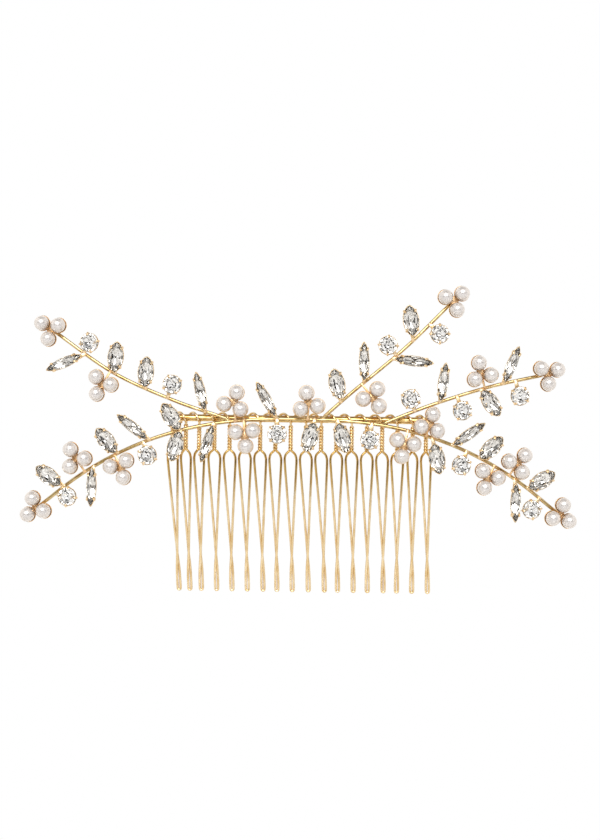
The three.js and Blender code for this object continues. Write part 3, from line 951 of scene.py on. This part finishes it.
# ---- stems ---------------------------------------------------------------------------------
@dataclass
class Stems:
    """The four polished stems, with a drop of solder where a branch joins the main one."""

    finishes: Finishes
    spray: Spray
    branch_share: float = 0.98
    drop_size: tuple[float, float, float] = (0.85, 0.5, 0.5)

    def line(self, arm: str) -> list[Vector]:
        """The axis of an arm, curved back with the spray.

        Args:
            arm: the arm's name.

        Returns:
            Its points in millimetres.
        """
        return [self.spray.on_spray(p.x, p.z) for p in self.spray.lines[arm][::4]]

    def solder(self, place: Vector, size: tuple[float, float, float]) -> bpy.types.Object:
        """A drop of solder, drawn flat where it wetted the wire.

        Args:
            place: its middle in millimetres.
            size: its half sizes in millimetres.

        Returns:
            The drop.
        """
        deselect()
        bpy.ops.mesh.primitive_uv_sphere_add(segments=16, ring_count=10, radius=MM, location=place * MM)
        drop = bpy.context.object
        drop.scale = size
        bpy.ops.object.transform_apply(location=True, rotation=True, scale=True)
        tidy_shell(drop, 60)
        return drop

    def build(self) -> None:
        """Build and dress the stems."""
        main = list(reversed(self.line("lower_left"))) + self.line("lower_right")[1:]
        piece = swept_wire("main_stem", main, self.spray.stem_d, 16)
        finish_piece(piece, self.finishes.stem, "stem_main")
        LOG.info("drew %s", piece.name)
        for arm in ("upper_left", "upper_right", "side_right"):
            line = self.line(arm)
            way = (line[0] - line[1]).normalized()
            root = line[0] + way * 0.7 + Vector((0, 0, -0.35))
            if arm == "side_right":
                root = line[0] + Vector((-0.5, 0.0, -0.3))
                line = [root + Vector((-0.15, 0.1, -0.9)), root + Vector((-0.2, 0.0, -0.35)), root] + line
            else:
                line = [root] + line
            wire = swept_wire(f"{arm}_stem", line, self.spray.stem_d * self.branch_share, 16)
            drop = self.solder(root + Vector((0, 0.05, -0.1)), self.drop_size)
            piece = join([wire, drop], f"{arm}_stem")
            finish_piece(piece, self.finishes.stem, f"stem_{arm}")
            LOG.info("drew %s", piece.name)


# ---- pearls --------------------------------------------------------------------------------
@dataclass
class PearlTrios:
    """Three half-drilled pearls glued on a cast plate with three cups."""

    finishes: Finishes
    spray: Spray
    pearl_d: float = 4.0
    spread: float = 2.65
    plate_t: float = 0.4
    sink: float = 0.3
    cup_r: float = 2.14
    cup_height: float = 1.0
    cup_floor_r: float = 1.5
    web_r: float = 1.25
    web_t: float = 0.4
    hole_depth: float = 0.9
    trio_tab: float = 0.5

    def pearl(self) -> bpy.types.Object:
        """Make one pearl with its drilled hole at the back, at the origin.

        Returns:
            The pearl pattern.
        """
        deselect()
        bpy.ops.mesh.primitive_uv_sphere_add(segments=32, ring_count=20, radius=self.pearl_d * MM / 2)
        ball = bpy.context.object
        bpy.ops.object.mode_set(mode="EDIT")
        bpy.ops.mesh.select_mode(type="FACE")
        bpy.ops.mesh.select_all(action="DESELECT")
        bpy.ops.object.mode_set(mode="OBJECT")
        limit = -self.pearl_d * MM / 2 * 0.985
        for face in ball.data.polygons:
            face.select = face.center.z < limit
        bpy.ops.object.mode_set(mode="EDIT")
        bpy.ops.mesh.extrude_region_move(TRANSFORM_OT_translate={"value": (0, 0, self.hole_depth * MM)})
        bpy.ops.object.mode_set(mode="OBJECT")
        tidy_shell(ball, 50)
        return ball

    def cup(self) -> bpy.types.Object:
        """Raise one cup from a disc: floor, flared wall, rounded lip and hollow.

        Returns:
            The cup pattern, standing on the origin.
        """
        deselect()
        bpy.ops.mesh.primitive_circle_add(vertices=32, radius=self.cup_floor_r * MM, fill_type="NGON")
        cup = bpy.context.object
        bpy.ops.object.mode_set(mode="EDIT")
        bpy.ops.mesh.select_mode(type="FACE")
        bpy.ops.mesh.select_all(action="SELECT")
        rim, deep = self.cup_r, self.cup_height
        # Height and radius up the outside, over the lip and down the inside to the cup's floor.
        steps = [(0.18, 1.84), (0.55, 2.05), (deep - 0.06, rim), (deep, rim - 0.06), (deep, rim - 0.14),
                 (0.62, rim - 0.34), (0.42, 1.0)]
        radius, height = self.cup_floor_r, 0.0
        for z, r in steps:
            bpy.ops.mesh.extrude_region_move(TRANSFORM_OT_translate={"value": (0, 0, (z - height) * MM)})
            bpy.ops.transform.resize(value=(r / radius, r / radius, 1), center_override=(0, 0, z * MM))
            radius, height = r, z
        bpy.ops.object.mode_set(mode="OBJECT")
        return cup

    def plate(self) -> bpy.types.Object:
        """Join three cups with the web between them.

        Returns:
            The plate pattern.
        """
        cup = self.cup()
        parts = []
        for k in range(3):
            a = k * 2 * math.pi / 3
            shift = Matrix.Translation((math.cos(a) * self.spread * MM, math.sin(a) * self.spread * MM,
                                        self.spray.seat_z * MM))
            parts.append(copy_in_place(cup, f"cup_{k}", shift))
        deselect()
        bpy.ops.mesh.primitive_cylinder_add(vertices=24, radius=self.web_r * MM, depth=self.web_t * MM,
                                            location=(0, 0, (self.spray.seat_z + self.web_t / 2) * MM))
        web = bpy.context.object
        bpy.ops.object.transform_apply(location=True, rotation=True, scale=True)
        bevel = web.modifiers.new("soft_edge", "BEVEL")
        bevel.width = 0.12 * MM
        bevel.segments = 2
        bpy.ops.object.modifier_apply(modifier=bevel.name)
        remove([cup])
        plate = join(parts + [web], "plate_pattern")
        tidy_shell(plate, 35)
        return plate

    def build(self, tabs: "SolderTabs") -> None:
        """Set every trio on its arm.

        Args:
            tabs: makes the solder foot under each plate.
        """
        ball, plate = self.pearl(), self.plate()
        rise = (self.spray.seat_z + self.plate_t - self.sink) * MM + self.pearl_d * MM / 2
        turner = random.Random(5)
        for arm, seats in LAYOUT.items():
            for seat in (s for s in seats if s.kind is Kind.TRIO):
                label = seat.node.replace("pearls_", "")
                where, reach = self.spray.place(arm, seat, 0.0)
                if seat.end is None:
                    spot = where.translation / MM
                    turned = self.spray.seat_matrix(spot.x, spot.z, seat.turn)
                else:
                    turned = where
                piece = copy_in_place(plate, f"three_cups_{label}", turned)
                if seat.end is None:
                    tab = tabs.build(where, reach, self.trio_tab)
                    piece = join([piece, tab], f"three_cups_{label}")
                finish_piece(piece, self.finishes.cup, seat.node)
                for k in range(3):
                    a = k * 2 * math.pi / 3
                    spin = Matrix.Rotation(turner.uniform(0, 6.28), 4, "Z")
                    tip = Matrix.Rotation(turner.uniform(-0.12, 0.12), 4, "X")
                    seat_in = Matrix.Translation((math.cos(a) * self.spread * MM,
                                                  math.sin(a) * self.spread * MM, rise))
                    one = copy_in_place(ball, f"pearl_{label}_{k + 1}", turned @ seat_in @ tip @ spin)
                    finish_piece(one, self.finishes.pearl, seat.node)
                LOG.info("set pearls %s", label)
        remove([ball, plate])


# ---- stones --------------------------------------------------------------------------------
@dataclass
class SolderTabs:
    """The flat tab from a setting to the stem, and the drop of solder that holds it."""

    spray: Spray
    width: float = 0.8
    painted_band_rise: float = 0.36

    def build(self, where: Matrix, reach: float, width: float | None = None,
              stop: float = 0.0) -> bpy.types.Object:
        """Cut one tab.

        Args:
            where: the matrix of the piece that it holds, whose -X points at the stem.
            reach: the piece's middle from the stem's axis, in millimetres.
            width: the tab's width when it isn't the usual one.
            stop: how far from the piece's middle the tab ends.

        Returns:
            The tab in place.
        """
        width = width or self.width
        z = self.spray.seat_z + self.painted_band_rise / 2
        deselect()
        middle = -(reach + stop) / 2 * MM
        bpy.ops.mesh.primitive_cube_add(size=MM, location=(middle, 0, z * MM))
        tab = bpy.context.object
        tab.scale = (reach - stop, width, self.painted_band_rise)
        bpy.ops.object.transform_apply(location=True, rotation=True, scale=True)
        for vertex in tab.data.vertices:
            if vertex.co.x > middle:
                vertex.co.y *= 1.7
        bevel = tab.modifiers.new("filed_edges", "BEVEL")
        bevel.width = 0.1 * MM
        bevel.segments = 2
        bpy.ops.object.modifier_apply(modifier=bevel.name)
        deselect()
        bpy.ops.mesh.primitive_uv_sphere_add(segments=14, ring_count=8, radius=MM,
                                             location=(-reach * MM, 0, (self.spray.seat_z - 0.02) * MM))
        drop = bpy.context.object
        drop.scale = (0.42, 0.62, 0.3)
        bpy.ops.object.transform_apply(location=True, rotation=True, scale=True)
        piece = join([tab, drop], "tab")
        tidy_shell(piece, 45)
        piece.data.transform(where)
        return piece


@dataclass
class StonePattern:
    """A foiled stone and its four-prong setting, for one outline.

    length and width are over the setting. pointed is how sharply the ends are drawn in, zero
    for a round stone.
    """

    kind: Kind
    length: float
    width: float
    pointed: float
    height: float = 2.4
    wall: float = 0.14
    sides: int = 16
    stone_share: float = 0.465
    girdle_share: float = 0.62
    girdle_half: float = 0.06
    rim_share: float = 0.52
    floor_r: float = 0.30
    prong_d: float = 0.58

    def outline(self, mesh: bpy.types.Mesh) -> None:
        """Draw a round mesh out to this stone's outline.

        Args:
            mesh: a mesh round the Z axis whose largest radius is one half.
        """
        for vertex in mesh.vertices:
            x, y = vertex.co.x / MM, vertex.co.y / MM
            r = math.hypot(x, y)
            squeeze = 1.0
            if r > 1e-6 and self.pointed:
                squeeze = abs(y / r) ** self.pointed
            vertex.co.x = x * self.length * MM
            vertex.co.y = y * squeeze * self.width * MM

    def rings(self, name: str, rows: list[tuple[int, float, float, float]]) -> bpy.types.Object:
        """Lay rings at heights and bridge each to the next, as facets are cut.

        Args:
            name: the piece's name.
            rows: sides, radius (of a half), height and turn in steps of half a side.

        Returns:
            The closed faceted body.
        """
        deselect()
        piece = None
        for sides, radius, height, turn in rows:
            bpy.ops.mesh.primitive_circle_add(vertices=sides, radius=radius * MM,
                                              location=(0, 0, height * MM),
                                              rotation=(0, 0, turn * math.pi / sides))
            ring = bpy.context.object
            bpy.ops.object.transform_apply(location=True, rotation=True, scale=True)
            piece = ring if piece is None else join([piece, ring], name)
        piece.name = name
        bpy.ops.object.mode_set(mode="EDIT")
        bpy.ops.mesh.select_mode(type="EDGE")
        for low, high in zip(rows, rows[1:]):
            self.pick_rings(piece, (low[2], high[2]))
            bpy.ops.mesh.bridge_edge_loops()
        for row in (rows[0], rows[-1]):
            self.pick_rings(piece, (row[2],))
            bpy.ops.mesh.edge_face_add()
        bpy.ops.object.mode_set(mode="OBJECT")
        return piece

    def pick_rings(self, piece: bpy.types.Object, heights: tuple[float, ...]) -> None:
        """Select the edges that lie at some heights.

        Args:
            piece: the mesh in edit mode.
            heights: the heights in millimetres.
        """
        bpy.ops.mesh.select_all(action="DESELECT")
        bpy.ops.object.mode_set(mode="OBJECT")
        mesh = piece.data
        for edge in mesh.edges:
            levels = [mesh.vertices[i].co.z / MM for i in edge.vertices]
            edge.select = any(all(abs(level - h) < 0.004 for level in levels) for h in heights)
            for i in edge.vertices:
                if edge.select:
                    mesh.vertices[i].select = True
        bpy.ops.object.mode_set(mode="EDIT")

    def stone(self, seat_z: float, finishes: Finishes) -> bpy.types.Object:
        """Cut the stone: table, star and main facets, girdle, and foiled back facets.

        Args:
            seat_z: height of the seating plane.
            finishes: the finishes.

        Returns:
            The stone pattern.
        """
        top = seat_z + self.height
        girdle = seat_z + self.height * self.girdle_share
        inner, edge = self.stone_share, self.girdle_half
        # Culet, break of the back facets, both edges of the girdle, crown facets and table.
        rows = [
            (8, inner * 0.10, seat_z + 0.18, 0.0),
            (8, inner * 0.60, seat_z + 0.62, 1.0),
            (self.sides, inner, girdle - edge, 0.0),
            (self.sides, inner, girdle + edge, 0.0),
            (8, inner * 0.80, girdle + (top - girdle) * 0.55, 1.0),
            (8, inner * 0.54, top, 0.0),
        ]
        piece = self.rings(f"{self.kind.value}_stone", rows)
        self.outline(piece.data)
        tidy_shell(piece, None)
        piece.data.materials.append(finishes.glass)
        piece.data.materials.append(finishes.foil if self.kind is Kind.ROUND else finishes.grey_foil)
        for face in piece.data.polygons:
            face.material_index = int(face.center.z / MM < girdle - edge + 1e-4)
        return piece

    def setting(self, seat_z: float) -> bpy.types.Object:
        """Stamp the setting: an open cup drawn to the outline, with four prongs bent over.

        Args:
            seat_z: height of the seating plane.

        Returns:
            The setting pattern.
        """
        rim = self.height * self.rim_share
        deselect()
        bpy.ops.mesh.primitive_circle_add(vertices=32, radius=self.floor_r * MM, fill_type="NGON",
                                          location=(0, 0, seat_z * MM))
        cup = bpy.context.object
        bpy.ops.object.transform_apply(location=True, rotation=True, scale=True)
        bpy.ops.object.mode_set(mode="EDIT")
        bpy.ops.mesh.select_mode(type="FACE")
        bpy.ops.mesh.select_all(action="SELECT")
        share = self.wall / self.width
        # Height and share of the outline up the outside, over the rim and down the inside.
        steps = [(0.10, 0.37), (rim * 0.7, 0.47), (rim - 0.05, 0.5), (rim, 0.495), (rim, 0.5 - share),
                 (rim * 0.6, 0.45 - share), (0.12, 0.20)]
        radius, height = self.floor_r, 0.0
        for z, r in steps:
            bpy.ops.mesh.extrude_region_move(TRANSFORM_OT_translate={"value": (0, 0, (z - height) * MM)})
            bpy.ops.transform.resize(value=(r / radius, r / radius, 1),
                                     center_override=(0, 0, (seat_z + z) * MM))
            radius, height = r, z
        bpy.ops.object.mode_set(mode="OBJECT")
        self.outline(cup.data)
        parts = [cup]
        turns = (45, 135, 225, 315) if self.kind is Kind.ROUND else (50, 130, 230, 310)
        for index, turn in enumerate(turns):
            parts.append(self.prong(index, math.radians(turn), seat_z))
        piece = join(parts, f"{self.kind.value}_setting")
        tidy_shell(piece, 35)
        return piece

    def prong(self, index: int, turn: float, seat_z: float) -> bpy.types.Object:
        """Bend one prong up the wall and over the stone's edge.

        Args:
            index: the prong's number.
            turn: where it stands round the stone, in radians.
            seat_z: height of the seating plane.

        Returns:
            The prong.
        """
        def spot(radius: float, height: float) -> Vector:
            """Find a point on the prong's axis.

            Args:
                radius: its place as a share of the outline.
                height: its height over the seating plane, in millimetres.

            Returns:
                The point in millimetres.
            """
            x, y = math.cos(turn) * radius, math.sin(turn) * radius
            squeeze = abs(math.sin(turn)) ** self.pointed if self.pointed else 1.0
            return Vector((x * self.length, y * squeeze * self.width, seat_z + height))

        line = smooth_run([spot(0.46, 0.5), spot(0.505, self.height * 0.45), spot(0.50, self.height * 0.66),
                           spot(0.455, self.height * 0.80), spot(0.405, self.height * 0.84)], 4)
        return swept_wire(f"prong_{index}", line, self.prong_d)


@dataclass
class Stones:
    """Every foiled stone in its setting.

    tab_stop is how far from a stone's middle its tab ends, as a share of the stone's length.
    """

    finishes: Finishes
    spray: Spray
    tab_stop: float = 0.36

    def patterns(self) -> dict[Kind, StonePattern]:
        """The three outlines.

        Returns:
            Kind to its pattern.
        """
        return {
            Kind.ROUND: StonePattern(Kind.ROUND, 5.2, 5.2, 0.0),
            Kind.WIDE: StonePattern(Kind.WIDE, 8.5, 4.5, 0.32),
            Kind.SLIM: StonePattern(Kind.SLIM, 10.8, 2.9, 0.38),
        }

    def build(self, tabs: SolderTabs) -> None:
        """Set every stone on its arm.

        Args:
            tabs: makes the tab of each setting.
        """
        made = {}
        for kind, pattern in self.patterns().items():
            made[kind] = (pattern, pattern.stone(self.spray.seat_z, self.finishes),
                          pattern.setting(self.spray.seat_z))
        numbers: dict[str, int] = {}
        for arm, seats in LAYOUT.items():
            for seat in (s for s in seats if s.kind is not Kind.TRIO):
                pattern, stone, setting = made[seat.kind]
                numbers[arm] = numbers.get(arm, 0) + 1
                label = f"{arm}_{seat.kind.value}_{numbers[arm]:02d}"
                where, reach = self.spray.place(arm, seat, pattern.length)
                piece = copy_in_place(setting, f"setting_{label}", where)
                tab = tabs.build(where, reach, stop=pattern.length * self.tab_stop)
                piece = join([piece, tab], f"setting_{label}")
                finish_piece(piece, self.finishes.setting, seat.node)
                cut = copy_in_place(stone, f"stone_{label}", where)
                finish_piece(cut, None, seat.node)
                LOG.info("set stone %s", label)
        for _, stone, setting in made.values():
            remove([stone, setting])


# ---- studio --------------------------------------------------------------------------------
@dataclass
class Studio:
    """A plain pale floor, soft lights and the camera.

    The surroundings are white to the eye. What shines sees a soft box in front and above, a bright
    table below, and the unlit room, doorways and ceiling as darker patches. Each patch is an aim
    (azimuth from the front and elevation) with the half angles where it is full and where it ends.
    """

    distance: float = 0.45
    seen_height: float = 0.22703
    roll_deg: float = 0.8
    aim: tuple[float, float] = (0.00013, -0.00022)
    floor_z: float = -0.20
    floor_r: float = 0.34
    white: float = 1.0
    front: float = 0.95
    table: float = 1.2
    softbox: float = 6.5
    ceiling: float = 0.4
    doorway: float = 0.03
    room_dark: float = 0.13

    def camera(self) -> None:
        """Stand the camera in front of the comb."""
        data = bpy.data.cameras.new("front_camera")
        data.sensor_fit = "VERTICAL"
        data.sensor_height = 36.0
        data.lens = 36.0 * self.distance / self.seen_height
        data.clip_start = 0.01
        eye = bpy.data.objects.new("front_camera", data)
        eye.matrix_world = (Matrix.Translation((self.aim[0], -self.distance, self.aim[1]))
                            @ Matrix.Rotation(math.pi / 2, 4, "X")
                            @ Matrix.Rotation(math.radians(self.roll_deg), 4, "Z"))
        bpy.context.scene.collection.objects.link(eye)
        bpy.context.scene.camera = eye

    def lamp(self, name: str, place: tuple[float, float, float], size: tuple[float, float],
             power: float) -> None:
        """Hang a soft box aimed at the comb.

        Args:
            name: the lamp's name.
            place: where it hangs, in metres.
            size: its width and height in metres.
            power: its power in watts.
        """
        data = bpy.data.lights.new(name, "AREA")
        data.shape = "RECTANGLE"
        data.size, data.size_y = size
        data.energy = power
        lamp = bpy.data.objects.new(name, data)
        lamp.location = place
        lamp.rotation_euler = (-Vector(place)).to_track_quat("-Z", "Y").to_euler()
        bpy.context.scene.collection.objects.link(lamp)

    def floor(self) -> None:
        """Lay the pale floor below the comb."""
        deselect()
        bpy.ops.mesh.primitive_circle_add(vertices=96, radius=self.floor_r, fill_type="NGON",
                                          location=(0, 0, self.floor_z))
        floor = bpy.context.object
        bpy.ops.object.transform_apply(location=True, rotation=True, scale=True)
        floor.name = "pale_floor"
        material = bpy.data.materials.new("matt_paper")
        material.use_nodes = True
        shader = material.node_tree.nodes["Principled BSDF"]
        shader.inputs["Base Color"].default_value = linear("#F4F3F1")
        shader.inputs["Roughness"].default_value = 0.9
        floor.data.materials.append(material)

    def patch(self, tree: bpy.types.NodeTree, way: bpy.types.NodeSocket,
              below: bpy.types.NodeSocket | float, aim: tuple[float, float],
              reach: tuple[float, float], value: float) -> bpy.types.NodeSocket:
        """Lay a round patch of brightness on the surroundings.

        Args:
            tree: the world's nodes.
            way: the direction looked in.
            below: the brightness so far.
            aim: the patch's azimuth from the front and its elevation, in degrees.
            reach: the half angles where it is full and where it ends, in degrees.
            value: the patch's brightness.

        Returns:
            The brightness with the patch laid on.
        """
        side, up = math.radians(aim[0]), math.radians(aim[1])
        centre = (math.sin(side) * math.cos(up), -math.cos(side) * math.cos(up), math.sin(up))
        dot = add_node(tree, "ShaderNodeVectorMath", {"operation": "DOT_PRODUCT", 1: centre}, {0: way})
        full, ends = (math.cos(math.radians(angle)) for angle in reach)
        mask = add_node(tree, "ShaderNodeMapRange", {"interpolation_type": "SMOOTHSTEP",
                        "From Min": ends, "From Max": full}, {"Value": dot.outputs["Value"]})
        blend = add_node(tree, "ShaderNodeMix", {"data_type": "FLOAT", 3: value},
                         {0: mask.outputs["Result"]})
        if isinstance(below, float):
            blend.inputs[2].default_value = below
        else:
            tree.links.new(below, blend.inputs[2])
        return blend.outputs[0]

    def band(self, tree: bpy.types.NodeTree, way: bpy.types.NodeSocket, below: bpy.types.NodeSocket,
             value: float) -> bpy.types.NodeSocket:
        """Lay a level dark band in front, where the unlit room stands behind the camera.

        Args:
            tree: the world's nodes.
            way: the direction looked in.
            below: the brightness so far.
            value: the band's brightness.

        Returns:
            The brightness with the band laid on.
        """
        split = add_node(tree, "ShaderNodeSeparateXYZ", links={"Vector": way})
        low = add_node(tree, "ShaderNodeMapRange", {"From Min": -0.13, "From Max": -0.04},
                       {"Value": split.outputs["Z"]})
        high = add_node(tree, "ShaderNodeMapRange", {"From Min": 0.28, "From Max": 0.16},
                        {"Value": split.outputs["Z"]})
        front = add_node(tree, "ShaderNodeMapRange", {"From Min": -0.55, "From Max": -0.82},
                         {"Value": split.outputs["Y"]})
        level = add_node(tree, "ShaderNodeMath", {"operation": "MULTIPLY"},
                         {0: low.outputs["Result"], 1: high.outputs["Result"]})
        mask = add_node(tree, "ShaderNodeMath", {"operation": "MULTIPLY"},
                        {0: level.outputs["Value"], 1: front.outputs["Result"]})
        blend = add_node(tree, "ShaderNodeMix", {"data_type": "FLOAT", 3: value},
                         {0: mask.outputs["Value"], 2: below})
        return blend.outputs[0]

    def surroundings(self) -> None:
        """Wrap the studio in white with soft and dark patches, seen only in what shines."""
        world = bpy.data.worlds.new("studio")
        bpy.context.scene.world = world
        world.use_nodes = True
        tree = world.node_tree
        tree.nodes.clear()
        way = add_node(tree, "ShaderNodeTexCoord").outputs["Generated"]
        patches = [
            ((0, 4), (30, 62), self.front),
            ((0, -62), (40, 56), self.table),
            ((0, 90), (22, 44), self.ceiling),
            ((-46, 6), (7, 12), self.doorway),
            ((46, 6), (7, 12), self.doorway),
            ((-4, 29), (15, 25), self.softbox),
        ]
        level: bpy.types.NodeSocket | float = self.white
        for aim, reach, value in patches:
            level = self.patch(tree, way, level, aim, reach, value)
        level = self.band(tree, way, level, self.room_dark)
        dim = add_node(tree, "ShaderNodeBackground", {"Color": (1, 1, 1, 1)}, {"Strength": level})
        plain = add_node(tree, "ShaderNodeBackground", {"Color": (1, 1, 1, 1), "Strength": 1.0})
        path = add_node(tree, "ShaderNodeLightPath")
        mix = add_node(tree, "ShaderNodeMixShader", links={0: path.outputs["Is Camera Ray"],
                       1: dim.outputs["Background"], 2: plain.outputs["Background"]})
        add_node(tree, "ShaderNodeOutputWorld", links={"Surface": mix.outputs["Shader"]})

    def build(self) -> None:
        """Set up the studio."""
        self.camera()
        self.floor()
        self.surroundings()
        self.lamp("key_box", (-0.03, -0.60, 0.27), (0.25, 0.25), 0.35)
        bpy.context.scene.view_settings.view_transform = "Standard"


def main() -> None:
    """Build the comb piece by piece."""
    logging.basicConfig(level=logging.INFO, format="%(message)s")
    Studio().build()
    finishes = Finishes()
    spray = Spray()
    tabs = SolderTabs(spray)
    WireComb(finishes).build()
    Stems(finishes, spray).build()
    PearlTrios(finishes, spray).build(tabs)
    Stones(finishes, spray).build(tabs)
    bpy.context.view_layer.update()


if __name__ == "__main__":
    main()
